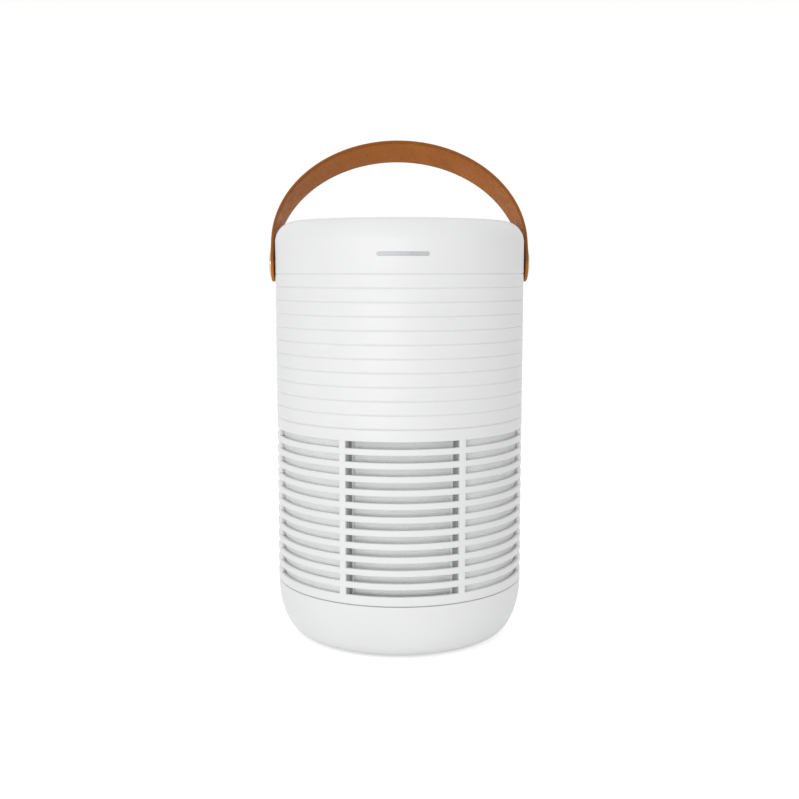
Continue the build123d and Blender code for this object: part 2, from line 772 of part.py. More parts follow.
with BuildPart() as handle_strap:
    with BuildSketch(strap_plane):
        with BuildLine():
            strap_curve(strap_wall / 2)
            strap_curve(-strap_wall / 2)
            for side in (-1, 1):
                Line((side * strap_inner_x, -strap_width / 2), (side * strap_outer_x, -strap_width / 2))
        make_face()
    extrude(amount=strap_width / 2, both=True)
    fillet(handle_strap.edges().filter_by(Axis.X), strap_width / 2 - strap_end_flat)
    fillet(handle_strap.edges(), strap_edge_round)
    for side in (-1, 1):
        side_disc(side * (strap_inner_x - 1), side * (strap_outer_x + 1), pin_radius + fit_gap / 2,
                  mode=Mode.SUBTRACT)
handle_strap.part.label = "handle_strap"
export_step(handle_strap.part, "parts/handle_strap.step")

with BuildPart() as handle_pins:
    for side in (-1, 1):
        side_disc(side * (clip_x - clip_wall - pin_tail), side * strap_outer_x, pin_radius)
handle_pins.part.label = "handle_pins"
export_step(handle_pins.part, "parts/handle_pins.step")

with BuildPart() as handle_caps:
    for side in (-1, 1):
        with BuildSketch(Plane.XZ):
            with BuildLine():
                base_x = side * strap_outer_x
                rim_x = side * (strap_outer_x + cap_rim)
                crown_x = side * (strap_outer_x + cap_height)
                Polyline((crown_x, pivot_z), (base_x, pivot_z), (base_x, pivot_z + cap_radius),
                         (rim_x, pivot_z + cap_radius))
                ThreePointArc((rim_x, pivot_z + cap_radius), (crown_x - side * half_drop, pivot_z + half_out),
                              (crown_x, pivot_z))
            make_face()
        revolve(axis=Axis((0, 0, pivot_z), (1, 0, 0)))
handle_caps.part.label = "handle_caps"
export_step(handle_caps.part, "parts/handle_caps.step")

with BuildPart() as pin_clips:
    for side in (-1, 1):
        side_disc(side * (clip_x - clip_wall), side * clip_x, clip_radius, pin_radius + fit_gap / 2)
pin_clips.part.label = "pin_clips"
export_step(pin_clips.part, "parts/pin_clips.step")

with BuildPart() as pivot_bushings:
    for side in (-1, 1):
        side_disc(side * bush_inner_x, side * bush_outer_x, bush_radius, pin_radius + shaft_clearance)
pivot_bushings.part.label = "pivot_bushings"
export_step(pivot_bushings.part, "parts/pivot_bushings.step")

# ---------------------------------------------------------------- rear services
bezel_back = body_radius - bezel_depth
jack_face = body_radius - jack_recess
with BuildPart() as jack_bezel:
    with BuildSketch(Plane.XZ.offset(-bezel_back)):
        with Locations((0, jack_z)):
            RectangleRounded(bezel_width - 2 * fit_gap, bezel_height - 2 * fit_gap, bezel_height / 3)
    extrude(amount=-(bezel_depth + bezel_proud))
    fillet(jack_bezel.edges().group_by(Axis.Y)[-1], bezel_proud)
    rear_disc(bezel_back - 1, body_radius + bezel_proud + 1, jack_z, jack_radius + fit_gap,
              mode=Mode.SUBTRACT)
jack_bezel.part.label = "jack_bezel"
export_step(jack_bezel.part, "parts/jack_bezel.step")

with BuildPart() as dc_jack:
    rear_disc(jack_face - jack_length, jack_face, jack_z, jack_radius)
    rear_disc(jack_face - jack_length + jack_recess, jack_face + 1, jack_z, jack_bore, mode=Mode.SUBTRACT)
    rear_disc(jack_face - jack_length - jack_recess, bezel_back, jack_z, jack_radius + jack_recess,
              jack_radius - fit_gap)
dc_jack.part.label = "dc_jack"
export_step(dc_jack.part, "parts/dc_jack.step")

with BuildPart() as jack_pin:
    rear_disc(jack_face - jack_length + jack_recess, jack_face - jack_recess, jack_z, jack_pin_radius)
    fillet(jack_pin.edges().group_by(Axis.Y)[-1], jack_pin_radius / 2)
jack_pin.part.label = "jack_pin"
export_step(jack_pin.part, "parts/jack_pin.step")

sensor_back = body_radius - sensor_cover_depth
with BuildPart() as sensor_cover:
    with BuildSketch(Plane.XZ.offset(-sensor_back)):
        with Locations((0, sensor_z)):
            SlotOverall(sensor_window_width - 2 * fit_gap, sensor_window_height - 2 * fit_gap)
    extrude(amount=-(sensor_cover_depth + bezel_proud))
    fillet(sensor_cover.edges().group_by(Axis.Y)[-1], bezel_proud)
    with BuildSketch(Plane.XZ.offset(-sensor_back)):
        with Locations((0, sensor_z)):
            with GridLocations(2 * sensor_slot_width, 0, sensor_slots, 1):
                SlotOverall(sensor_window_height / 2, sensor_slot_width, rotation=90)
    extrude(amount=-2 * sensor_cover_depth, mode=Mode.SUBTRACT)
sensor_cover.part.label = "sensor_cover"
export_step(sensor_cover.part, "parts/sensor_cover.step")

with BuildPart() as air_sensor:
    with BuildSketch(Plane.XZ.offset(-sensor_back)):
        with Locations((0, sensor_z)):
            RectangleRounded(sensor_box[0], sensor_box[2], sensor_corner)
    extrude(amount=sensor_box[1])
air_sensor.part.label = "air_sensor"
export_step(air_sensor.part, "parts/air_sensor.step")
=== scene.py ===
"""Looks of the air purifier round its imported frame: skins, materials, camera, light and floor."""
import math

import bmesh
import bpy
from mathutils import Matrix, Vector


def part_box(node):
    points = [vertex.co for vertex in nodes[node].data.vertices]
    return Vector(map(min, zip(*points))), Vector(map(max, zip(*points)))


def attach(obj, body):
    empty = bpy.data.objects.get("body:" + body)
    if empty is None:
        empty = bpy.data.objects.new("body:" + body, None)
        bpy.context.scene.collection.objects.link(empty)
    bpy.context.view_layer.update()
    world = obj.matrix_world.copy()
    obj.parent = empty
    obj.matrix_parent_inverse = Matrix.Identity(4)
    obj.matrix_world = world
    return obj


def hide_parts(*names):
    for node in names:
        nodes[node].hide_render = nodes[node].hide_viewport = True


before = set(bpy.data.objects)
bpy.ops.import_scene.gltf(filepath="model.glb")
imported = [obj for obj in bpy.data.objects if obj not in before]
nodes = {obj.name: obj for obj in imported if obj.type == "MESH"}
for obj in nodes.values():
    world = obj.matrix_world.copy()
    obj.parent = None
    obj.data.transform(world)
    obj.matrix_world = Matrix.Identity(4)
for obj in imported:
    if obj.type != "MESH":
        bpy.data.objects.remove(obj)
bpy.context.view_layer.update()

MM = 0.001
FULL_TURN = 2 * math.pi
SEGMENTS = 288                          # steps round every turned piece

# ------------------------------------------------------------------ sizes from the frame
# Corners of the nodes' boxes at rest, in metres.
collar_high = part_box("top_collar")[1]
shell_low, shell_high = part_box("ribbed_shell")
grille_low, grille_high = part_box("intake_grille")
base_low, base_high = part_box("base_cover")
foot_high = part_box("foot_ring")[1]
strap_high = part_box("handle_strap")[1]
cap_low, cap_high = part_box("handle_caps")
indicator_low, indicator_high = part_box("indicator_lens")
jack_low, jack_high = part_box("jack_bezel")
sensor_low, sensor_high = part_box("sensor_cover")
sleeve_low, sleeve_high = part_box("prefilter_sleeve")
cage_low, cage_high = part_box("filter_cage")

BODY_R = collar_high[1]
BODY_H = collar_high[2]
SHELL_Z0, SHELL_Z1 = shell_low[2], shell_high[2]
GRILLE_Z0, GRILLE_Z1 = grille_low[2], grille_high[2]
PIVOT_Z = (cap_low[2] + cap_high[2]) / 2

# ------------------------------------------------------------------ other sizes
WALL = 3.0 * MM
INNER_R = BODY_R - WALL
FIT_GAP = 0.12 * MM                     # round a piece that is let into the housing

# Ribbed shell.
RIB_COUNT = 11
RIB_PITCH = (SHELL_Z1 - SHELL_Z0) / RIB_COUNT
RIB_BULGE = 0.7 * MM
RIB_POWER = 10                          # the higher, the flatter a rib between its grooves
JACK_ROUNDING = 2 / 3                   # corner radius, as a share of half the window's height
SENSOR_ROUNDING = 1
WINDOW_EASE = 0.1 * MM

# Intake grille.
SLOT_ROWS = 12
SLOT_HEIGHT = 5.5 * MM
TOP_BAR = 12.5 * MM
BAR_PITCH = (GRILLE_Z1 - GRILLE_Z0 - TOP_BAR) / SLOT_ROWS
BAR_EDGE = 0.8 * MM
BAR_BACK = 0.5 * MM
SECTIONS = 7
PILLAR_WIDTH = 5.4 * MM
PILLAR_INSET = 0.2 * MM
PILLAR_EDGE = 0.5 * MM
PILLAR_LAP = 1 * MM                     # how far a pillar runs into the bars above and below it
FRONT_SPREAD = math.radians(1.3)        # each front pillar stands this much further from the middle
MARK_R = 1.2 * MM
MARK_DEPTH = 0.4 * MM

# Pre-filter sleeve and the cage that holds it.
SLEEVE_WALL = 1.5 * MM
SLEEVE_EDGE = 1.5 * MM
CAGE_RING = 1.8 * MM
CAGE_FIN = 4.4 * MM
PAD_GAP = 1.2 * MM                      # between the bulging felt and the grille
PAINTED_SHADE_FROM = 39.7 * MM                   # from the middle to the painted shade on the two front fins

# Top collar.
SHOULDER_R = 17.6 * MM
RIM_LAND = 2.0 * MM
RIM_LIP = 0.9 * MM
LEDGE_DEPTH = 9.0 * MM
LEDGE_WIDTH = 3.5 * MM
COLLAR_SEAM = 0.35 * MM
LENS_SEAT = 1.15 * MM

# Base cover.
BASE_REACH = 20.7 * MM
BASE_SEAM = 0.6 * MM
BASE_HOLE_R = 1 * MM
FOOT_GROOVE = 9.0 * MM

# Strap.
STRAP_WIDTH = 32.0 * MM
STRAP_WALL = 2.4 * MM
STRAP_EDGE = 0.85 * MM
STRAP_CREASE = 3.1 * MM                 # from the strap's edge to the pressed crease
STRAP_MID = strap_high[0] - STRAP_WALL / 2
STRAP_STRAIGHT = 13.6 * MM
STRAP_ARCH = 110.5 * MM
LEAN = math.radians(27.5)

# ------------------------------------------------------------------ camera, light and floor
CAMERA_LENS = 49.70
CAMERA_DISTANCE = 9.0 * BODY_R
CAMERA_DROP = 39.5 * MM                 # below the top of the body
CAMERA_PITCH = math.radians(6.75)
CAMERA_TURN = math.radians(-1.5)

AMBIENT = 0.64
AMBIENT_BLUE = 1.01                     # blue over red in the ambient light
SHOWN_WHITE = 1.0
FLOOR_HALF = 30.0
FLOOR_ALBEDO = 0.90
FLOOR_GLOW = 0.52
LAMP_TARGET = (0, 0, 0.2)
LAMPS = (                               # name, place, size and watts
    ("key", (-0.70, -2.2, 0.32), (1.6, 0.5), 15.8),
    ("top", (0.0, 0.2, 1.8), (1.6, 1.6), 4),
    ("rear", (-0.3, 2.0, 0.9), (1.4, 1.0), 5),
)


# ------------------------------------------------------------------ node helpers
class Tree:
    """Short way to write a material's node tree."""

    def __init__(self, name):
        self.material = bpy.data.materials.new(name)
        self.material.use_nodes = True
        self.nodes = self.material.node_tree.nodes
        self.links = self.material.node_tree.links
        self.shader = self.nodes["Principled BSDF"]

    def add(self, kind, settings=None, **inputs):
        """New node; an input's name is written with _ for each space."""
        node = self.nodes.new(kind)
        for key, value in (settings or {}).items():
            setattr(node, key, value)
        for key, value in inputs.items():
            self.feed(node.inputs[key.replace("_", " ")], value)
        return node

    def feed(self, socket, value):
        """Links another node's output to the socket, or sets the socket's own value."""
        if isinstance(value, bpy.types.NodeSocket):
            self.links.new(value, socket)
        else:
            socket.default_value = value

    def math(self, operation, first, second=0.0):
        node = self.nodes.new("ShaderNodeMath")
        node.operation = operation
        self.feed(node.inputs[0], first)
        self.feed(node.inputs[1], second)
        return node.outputs[0]

    def length(self, first, second):
        """Length of the line with these two parts at right angles."""
        squares = [self.math("POWER", part, 2.0) for part in (first, second)]
        return self.math("SQRT", self.math("ADD", *squares))

    def position(self):
        return self.add("ShaderNodeTexCoord").outputs["Object"]

    def axes(self, vector=None):
        """The X, Y and Z of a vector, or of the position."""
        return self.add("ShaderNodeSeparateXYZ", Vector=vector or self.position()).outputs

    def noise(self, scale, detail=2.0, roughness=0.5, vector=None):
        node = self.add("ShaderNodeTexNoise", Scale=scale, Detail=detail, Roughness=roughness,
                        Vector=vector or self.position())
        return node.outputs["Fac"]

    def span(self, value, low, high, from_low=0.35, from_high=0.65):
        """Spreads the value from one range to another, and clamps it."""
        node = self.add("ShaderNodeMapRange", {"clamp": True}, Value=value, From_Min=from_low,
                        From_Max=from_high, To_Min=low, To_Max=high)
        return node.outputs[0]

    def colour(self, factor, first, second):
        """Mix of two colours, each a triple or another node's output."""
        node = self.add("ShaderNodeMix", {"data_type": "RGBA"}, Factor=factor)
        for socket, value in ((node.inputs[6], first), (node.inputs[7], second)):
            self.feed(socket, (*value, 1) if isinstance(value, tuple) else value)
        return node.outputs[2]

    def bump(self, height, strength, distance, normal=None):
        node = self.add("ShaderNodeBump", Strength=strength, Distance=distance, Height=height)
        if normal:
            self.links.new(normal, node.inputs["Normal"])
        return node.outputs[0]

    def finish(self, colour, roughness, normal, **fixed):
        """Feeds the shader, sets its fixed values and hands the material back."""
        for name, value in (("Base Color", colour), ("Roughness", roughness), ("Normal", normal)):
            self.feed(self.shader.inputs[name], value)
        for key, value in fixed.items():
            self.shader.inputs[key.replace("_", " ")].default_value = value
        return self.material


def shade(colour, factor):
    """The colour made darker or lighter."""
    return tuple(min(1.0, part * factor) for part in colour)


# ------------------------------------------------------------------ materials
# Texture scales of the moulded plastics, per metre.
DRIFT_SCALE = 9.0
SMEAR_SCALE = 38.0
SWELL_SCALE = 55.0
GRAIN_SCALE = 2600.0
GRAIN_DEPTH = 0.00006

MESH_PITCH = 1.5 * MM                   # of the pre-filter's nylon mesh
RING_PITCH = 0.35 * MM                  # of the turned rings on the pivot caps
STREAK_STRETCH = (1, 1, 14)


def moulded_plastic(name, colour, roughness, grain=0.10, mottle=0.015, coat=0.0, groove=None):
    """Moulded plastic: fine spark-eroded grain, slow drift of tone and gloss, faint smears.

    With groove, the grooves between the ribs get painted shade: the colour there is that share of
    its full strength."""
    tree = Tree(name)
    drift = tree.span(tree.noise(DRIFT_SCALE, detail=3.0), 0, 1)
    tone = tree.colour(drift, shade(colour, 1 - mottle), shade(colour, 1 + mottle))
    # painted shade: the grooves between the ribs are darkened
    if groove:
        place = tree.axes()
        raised = tree.span(tree.length(place["X"], place["Y"]), 0, 1,
                           BODY_R - 0.75 * RIB_BULGE, BODY_R - 0.02 * MM)
        tone = tree.colour(raised, shade(colour, groove), tone)
    smear = tree.noise(SMEAR_SCALE, detail=4.0, roughness=0.6)
    gloss = tree.span(smear, roughness - 0.05, roughness + 0.05)
    normal = tree.bump(tree.noise(GRAIN_SCALE, roughness=0.6), grain, GRAIN_DEPTH)
    normal = tree.bump(tree.noise(SWELL_SCALE), 0.05, 0.0004, normal)
    return tree.finish(tone, gloss, normal, Coat_Weight=coat, Coat_Roughness=0.12)


def cage_plastic_with_painted_shade(name, light, dark):
    """Filter cage: pale plastic, with painted shade: its two ribs beside the front opening are
    coloured dark.
    """
    tree = Tree(name)
    place = tree.axes()
    front = tree.span(place["Y"], 1, 0, -0.75 * BODY_R, -0.72 * BODY_R)
    beside = tree.span(tree.math("ABSOLUTE", place["X"]), 0, 1, PAINTED_SHADE_FROM, PAINTED_SHADE_FROM + 0.3 * MM)
    drift = tree.span(tree.noise(DRIFT_SCALE, detail=3.0), 0, 1)
    pale = tree.colour(drift, shade(light, 0.98), light)
    # painted shade: the two fins beside the front opening take the dark tone
    shaded_tone = tree.colour(drift, shade(dark, 0.9), shade(dark, 1.1))
    tone = tree.colour(tree.math("MULTIPLY", front, beside), pale, shaded_tone)
    gloss = tree.span(tree.noise(SMEAR_SCALE, detail=4.0), 0.45, 0.55)
    normal = tree.bump(tree.noise(GRAIN_SCALE, roughness=0.6), 0.12, GRAIN_DEPTH)
    return tree.finish(tone, gloss, normal)


def leather(name, colour):
    """Vegetable-tanned strap: pebbled grain, tone clouds, pores, and a darker tone towards its long
    edges.
    """
    tree = Tree(name)
    pivot = Vector((0, 0, PIVOT_Z))
    upright = tree.add("ShaderNodeMapping", Vector=tree.position(), Rotation=(LEAN, 0, 0),
                       Location=tuple(-(Matrix.Rotation(LEAN, 3, "X") @ pivot)))
    across = tree.math("ABSOLUTE", tree.axes(upright.outputs[0])["Y"])
    edge = tree.span(across, 0, 1, STRAP_WIDTH / 2 - 3.2 * MM, STRAP_WIDTH / 2 - 0.3 * MM)
    clouds = tree.span(tree.noise(32.0, detail=5.0, roughness=0.6), 0, 1, 0.3, 0.7)
    cells = tree.add("ShaderNodeTexVoronoi", {"feature": "DISTANCE_TO_EDGE"}, Scale=620.0,
                     Vector=tree.position())
    crease = tree.span(cells.outputs["Distance"], 0, 1, 0.0, 0.12)
    tone = tree.colour(clouds, shade(colour, 0.86), shade(colour, 1.14))
    tone = tree.colour(crease, shade(colour, 0.62), tone)
    # darker tone towards the strap's long edges
    tone = tree.colour(tree.math("MULTIPLY", edge, 0.75), tone, shade(colour, 0.42))
    gloss = tree.span(tree.noise(210.0, detail=3.0), 0.40, 0.58)
    normal = tree.bump(crease, 0.28, 0.00018)
    normal = tree.bump(tree.noise(1400.0, detail=3.0, roughness=0.7), 0.16, 0.00012, normal)
    normal = tree.bump(tree.noise(70.0, detail=3.0), 0.12, 0.0006, normal)
    return tree.finish(tone, gloss, normal, Specular_IOR_Level=0.11)


def filter_felt(name, colour):
    """Washable pre-filter: square nylon mesh over felt, laid round the cylinder."""
    tree = Tree(name)
    place = tree.axes()
    around = tree.math("MULTIPLY", tree.math("ARCTAN2", place["Y"], place["X"]), BODY_R)
    ridges = [tree.math("SINE", tree.math("MULTIPLY", value, FULL_TURN / MESH_PITCH))
              for value in (around, place["Z"])]
    mesh = tree.math("MAXIMUM", *ridges)
    fibre = tree.noise(1500.0, detail=4.0, roughness=0.7)
    stain = tree.span(tree.noise(60.0, detail=4.0), 0, 0.3)
    tone = tree.colour(tree.span(mesh, 0, 1, 0.0, 1.0), shade(colour, 0.90), colour)
    tone = tree.colour(stain, tone, shade(colour, 0.82))
    normal = tree.bump(fibre, 0.3, 0.0002, tree.bump(mesh, 0.25, 0.0003))
    return tree.finish(tone, tree.span(fibre, 0.75, 0.95), normal, Sheen_Weight=0.15)


def soft_rubber(name, colour):
    """Dull rubber, or pressed fibre, with dust in its pores."""
    tree = Tree(name)
    dust = tree.noise(120.0, detail=5.0, roughness=0.65)
    tone = tree.colour(tree.span(dust, 0, 1), shade(colour, 0.9), shade(colour, 1.25))
    normal = tree.bump(tree.noise(1800.0), 0.2, 0.0001)
    return tree.finish(tone, tree.span(dust, 0.68, 0.88), normal)


def turned_metal(name, colour, roughness=0.3):
    """Turned and anodised metal with fine rings about the strap's pivot line."""
    tree = Tree(name)
    place = tree.axes()
    radius = tree.length(place["Y"], tree.math("SUBTRACT", place["Z"], PIVOT_Z))
    rings = tree.math("SINE", tree.math("MULTIPLY", radius, FULL_TURN / RING_PITCH))
    tarnish = tree.noise(240.0, detail=4.0, roughness=0.6)
    tone = tree.colour(tree.span(tarnish, 0, 1), shade(colour, 0.92), shade(colour, 1.05))
    gloss = tree.span(tarnish, roughness - 0.06, roughness + 0.1)
    return tree.finish(tone, gloss, tree.bump(rings, 0.05, 0.00004), Metallic=1.0)


def brushed_metal(name, colour, roughness=0.35):
    """Metal with fine level streaks."""
    tree = Tree(name)
    streak = tree.add("ShaderNodeMapping", Vector=tree.position(), Scale=STREAK_STRETCH)
    lines = tree.noise(260.0, detail=4.0, roughness=0.7, vector=streak.outputs[0])
    tone = tree.colour(tree.span(lines, 0, 1), shade(colour, 0.85), shade(colour, 1.1))
    gloss = tree.span(lines, roughness - 0.08, roughness + 0.12)
    return tree.finish(tone, gloss, tree.bump(lines, 0.1, GRAIN_DEPTH), Metallic=1.0)


def light_guide(name, colour, glow):
    """Translucent diffuser, with a faint glow of its own where it is lit."""
    tree = Tree(name)
    haze = tree.noise(320.0, detail=3.0)
    tone = tree.colour(tree.span(haze, 0, 1), shade(colour, 0.95), shade(colour, 1.03))
    return tree.finish(tone, tree.span(haze, 0.25, 0.4), tree.bump(haze, 0.06, 0.0001),
                       Emission_Color=(*colour, 1), Emission_Strength=glow,
                       Subsurface_Weight=0.1, Subsurface_Radius=(0.002, 0.002, 0.002))


def circuit_board(name, colour):
    """Solder mask with copper tracks under it."""
    tree = Tree(name)
    tracks = tree.add("ShaderNodeTexBrick", Scale=140.0, Mortar_Size=0.06,
                      Vector=tree.position()).outputs["Fac"]
    tone = tree.colour(tracks, colour, shade(colour, 1.8))
    tone = tree.colour(tree.span(tree.noise(90.0), 0, 0.4), tone, shade(colour, 0.7))
    gloss = tree.span(tree.noise(300.0), 0.25, 0.45)
    return tree.finish(tone, gloss, tree.bump(tracks, 0.2, 0.00005))


WHITE = (0.86, 0.863, 0.86)
# dark tone painted as shade onto the cage's two front fins
CAGE_PAINTED_SHADE = (0.30, 0.304, 0.31)
materials = {
    "white_shell": moulded_plastic("white_shell_look", WHITE, 0.48),
    # the ribbed shell's white, with painted shade in its grooves
    "ribbed_white_groove_shade": moulded_plastic("ribbed_white_look", WHITE, 0.48, groove=0.95),
    "white_gloss": moulded_plastic("white_gloss_look", (0.84, 0.845, 0.845), roughness=0.16,
                                   grain=0.02, mottle=0.008, coat=0.4),
    "button_white": moulded_plastic("button_white_look", (0.80, 0.805, 0.805), 0.46),
    "dark_plastic": moulded_plastic("dark_plastic_look", (0.045, 0.047, 0.05), roughness=0.5,
                                    grain=0.18, mottle=0.12),
    "cage_plastic": cage_plastic_with_painted_shade("cage_plastic_look", WHITE, CAGE_PAINTED_SHADE),
    "duct_plastic": moulded_plastic("duct_plastic_look", (0.16, 0.165, 0.17), roughness=0.5,
                                    grain=0.18, mottle=0.10),
    "cap_plastic": moulded_plastic("cap_plastic_look", (0.66, 0.68, 0.70), 0.5),
    "bush_plastic": moulded_plastic("bush_plastic_look", (0.76, 0.76, 0.73), 0.35),
    "black_epoxy": moulded_plastic("black_epoxy_look", (0.02, 0.02, 0.022), roughness=0.5,
                                   grain=0.2, mottle=0.1),
    "indicator": light_guide("indicator_look", (0.55, 0.56, 0.57), glow=0.0),
    "light_ring": light_guide("light_ring_look", (0.70, 0.82, 0.80), glow=0.25),
    "filter_felt": filter_felt("filter_felt_look", (0.90, 0.905, 0.905)),
    "filter_paper": soft_rubber("filter_paper_look", (0.72, 0.72, 0.69)),
    "carbon": soft_rubber("carbon_look", (0.012, 0.012, 0.013)),
    "gasket": soft_rubber("gasket_look", (0.03, 0.03, 0.032)),
    "foot_rubber": soft_rubber("foot_rubber_look", (0.12, 0.12, 0.125)),
    "pull_tape": filter_felt("pull_tape_look", (0.10, 0.20, 0.32)),
    "leather": leather("leather_look", (0.555, 0.181, 0.031)),
    "cap_metal": turned_metal("cap_metal_look", (0.66, 0.56, 0.44)),
    "steel": brushed_metal("steel_look", (0.50, 0.50, 0.51)),
    "motor_metal": brushed_metal("motor_metal_look", (0.38, 0.39, 0.40), 0.45),
    "board": circuit_board("board_look", (0.010, 0.07, 0.03)),
}

# Material of every CAD node, the ones that a skin replaces among them.
NODES_OF_LOOK = {
    "white_shell": ("top_collar", "ribbed_shell", "intake_grille", "base_cover", "bayonet_ring",
                    "fan_deck", "outlet_grille"),
    "white_gloss": ("control_panel", "jack_bezel", "sensor_cover"),
    "button_white": ("power_button", "speed_button", "night_button"),
    "dark_plastic": ("impeller", "dc_jack", "air_sensor"),
    "cage_plastic": ("filter_cage",),
    "duct_plastic": ("inlet_bellmouth", "motor_mount", "inner_duct", "control_tub"),
    "cap_plastic": ("filter_bottom_cap", "filter_top_cap"),
    "bush_plastic": ("pivot_bushings",),
    "black_epoxy": ("board_components", "tact_switches"),
    "indicator": ("indicator_lens",),
    "light_ring": ("status_light_ring",),
    "filter_felt": ("prefilter_sleeve",),
    "filter_paper": ("filter_media",),
    "carbon": ("carbon_core",),
    "gasket": ("filter_gasket",),
    "foot_rubber": ("foot_ring",),
    "pull_tape": ("filter_pull_tab",),
    "leather": ("handle_strap",),
    "cap_metal": ("handle_caps",),
    "steel": ("motor_shaft", "motor_bearings", "motor_screws", "handle_pins", "pin_clips",
              "jack_pin"),
    "motor_metal": ("motor_housing",),
    "board": ("main_board", "control_board"),
}
for look, names in NODES_OF_LOOK.items():
    for name in names:
        node_mesh = nodes[name].data
        node_mesh.materials.clear()
        node_mesh.materials.append(materials[look])


# ------------------------------------------------------------------ mesh helpers
def smooth(mesh, sharp):
    """Smooth shading, with the edges steeper than sharp, in degrees, kept sharp."""
    mesh.shade_smooth()
    mesh.set_sharp_from_angle(angle=math.radians(sharp))


def make_object(name, vertices, faces, material, sharp=30):
    """Object from vertices and faces, with doubles merged and faces turned outwards."""
    mesh = bpy.data.meshes.new(name)
    mesh.from_pydata(vertices, [], faces)
    mesh.validate()
    cleaner = bmesh.new()
    cleaner.from_mesh(mesh)
    bmesh.ops.remove_doubles(cleaner, verts=cleaner.verts, dist=1e-7)
    bmesh.ops.recalc_face_normals(cleaner, faces=cleaner.faces)
    cleaner.to_mesh(mesh)
    cleaner.free()
    smooth(mesh, sharp)
    mesh.materials.append(materials[material])
    piece = bpy.data.objects.new(name, mesh)
    bpy.context.scene.collection.objects.link(piece)
    return piece


def arc(centre_r, centre_z, radius, start, end, count=8):
    """Points of an arc in the profile plane, angles in degrees from +R towards +Z."""
    step = (end - start) / count
    turns = [math.radians(start + step * k) for k in range(count + 1)]
    return [(centre_r + radius * math.cos(turn), centre_z + radius * math.sin(turn))
            for turn in turns]


def bands(rows, count, closed):
    """Faces between rows of count points each; closed joins the last row to the first."""
    pairs = [(k * count, (k + 1) % rows * count) for k in range(rows if closed else rows - 1)]
    return [(here + i, here + (i + 1) % count, there + (i + 1) % count, there + i)
            for here, there in pairs for i in range(count)]


def shifted(faces, by):
    return [tuple(i + by for i in face) for face in faces]


def lathe(name, outlines, material, sharp=30):
    """Turns closed (radius, height) outlines about Z; an outline may be a function of the turn."""
    vertices, faces = [], []
    turns = [FULL_TURN * k / SEGMENTS for k in range(SEGMENTS)]
    for outline in outlines:
        rings = [outline(turn) if callable(outline) else outline for turn in turns]
        faces += shifted(bands(SEGMENTS, len(rings[0]), closed=True), len(vertices))
        vertices += [(r * math.cos(turn), r * math.sin(turn), z)
                     for turn, ring in zip(turns, rings) for r, z in ring]
    return make_object(name, vertices, faces, material, sharp)


def block_faces(count):
    """Faces of a block made of two rows of count points, its ends closed."""
    ends = [tuple(range(count))[::-1], tuple(range(count, 2 * count))]
    return bands(2, count, closed=False) + ends


def rear_block(outline, near, far):
    """Block with an (x, z) outline that reaches from near to far along Y, to cut with."""
    vertices = [(x, y, z) for y in (near, far) for x, z in outline]
    return make_object("cutter", vertices, block_faces(len(outline)), "white_shell")


def cut_away(piece, cutter):
    """Takes the cutter's shape out of the piece and deletes the cutter."""
    modifier = piece.modifiers.new("cut", "BOOLEAN")
    modifier.operation = "DIFFERENCE"
    modifier.solver = "EXACT"
    modifier.object = cutter
    bpy.context.view_layer.update()
    ready = piece.evaluated_get(bpy.context.evaluated_depsgraph_get())
    cut = bpy.data.meshes.new_from_object(ready)
    piece.modifiers.clear()
    piece.data = cut
    smooth(cut, 30)
    bpy.data.objects.remove(cutter)


# ------------------------------------------------------------------ ribs and ribbed shell
def crest(from_middle):
    """Outer radius at a height from a rib's middle: a flat land that rolls into the groove."""
    return BODY_R - RIB_BULGE * abs(2 * from_middle / RIB_PITCH)**RIB_POWER


def rib_line(z_low, z_high, middle, count=20):
    """Outer line of one rib or bar, upwards, its points closer together near the grooves."""
    heights = [z_low + (z_high - z_low) * (1 - math.cos(math.pi * k / count)) / 2
               for k in range(count + 1)]
    return [(crest(z - middle), z) for z in heights]


def rear_window(low, high, rounding):
    """Cutter for a rounded window through the rear wall, a hair larger than what fills it."""
    half_w = (high[0] - low[0]) / 2 + FIT_GAP
    half_h = (high[2] - low[2]) / 2 + FIT_GAP
    radius = ((high[2] - low[2]) / 2 + WINDOW_EASE) * rounding
    middle = (high[2] + low[2]) / 2
    outline = []
    for side_x, side_z, start in ((1, 1, 0), (-1, 1, 90), (-1, -1, 180), (1, -1, 270)):
        outline += arc(side_x * (half_w - radius), middle + side_z * (half_h - radius),
                       radius, start, start + 90)
    return rear_block(outline, INNER_R - 12 * MM, BODY_R + 5 * MM)


def make_ribbed_shell():
    """Upper housing: eleven ribs outside, a plain bore, and the jack's and sensor's windows."""
    outline = []
    for k in range(RIB_COUNT):
        low = SHELL_Z0 + RIB_PITCH * k
        outline += rib_line(low, low + RIB_PITCH, low + RIB_PITCH / 2)[:-1]
    outline += [(crest(RIB_PITCH / 2), SHELL_Z1), (INNER_R, SHELL_Z1), (INNER_R, SHELL_Z0)]
    shell = lathe("ribbed_shell_skin", [outline], "ribbed_white_groove_shade", 15)
    cut_away(shell, rear_window(jack_low, jack_high, JACK_ROUNDING))
    cut_away(shell, rear_window(sensor_low, sensor_high, SENSOR_ROUNDING))
    return shell


# ------------------------------------------------------------------ intake grille
def sink_mark(piece, z):
    """Shallow round mark at the rear, one on each side of the twist-off seam."""
    outline = arc(0, z, MARK_R, 0, 360, 24)[:-1]
    cut_away(piece, rear_block(outline, BODY_R - MARK_DEPTH, BODY_R + 1 * MM))


def bar_outline(z_low, z_high, middle):
    """Closed section of one grille bar: convex front, rounded edges."""
    face_low, face_high = crest(z_low - middle), crest(z_high - middle)
    edge, back = BAR_EDGE, BAR_BACK
    return (arc(face_low - edge, z_low + edge, edge, -90, 0, 5)[:-1]
            + rib_line(z_low + edge, z_high - edge, middle, 6)
            + arc(face_high - edge, z_high - edge, edge, 0, 90, 5)[1:]
            + arc(INNER_R + back, z_high - back, back, 90, 180, 3)
            + arc(INNER_R + back, z_low + back, back, 180, 270, 3))


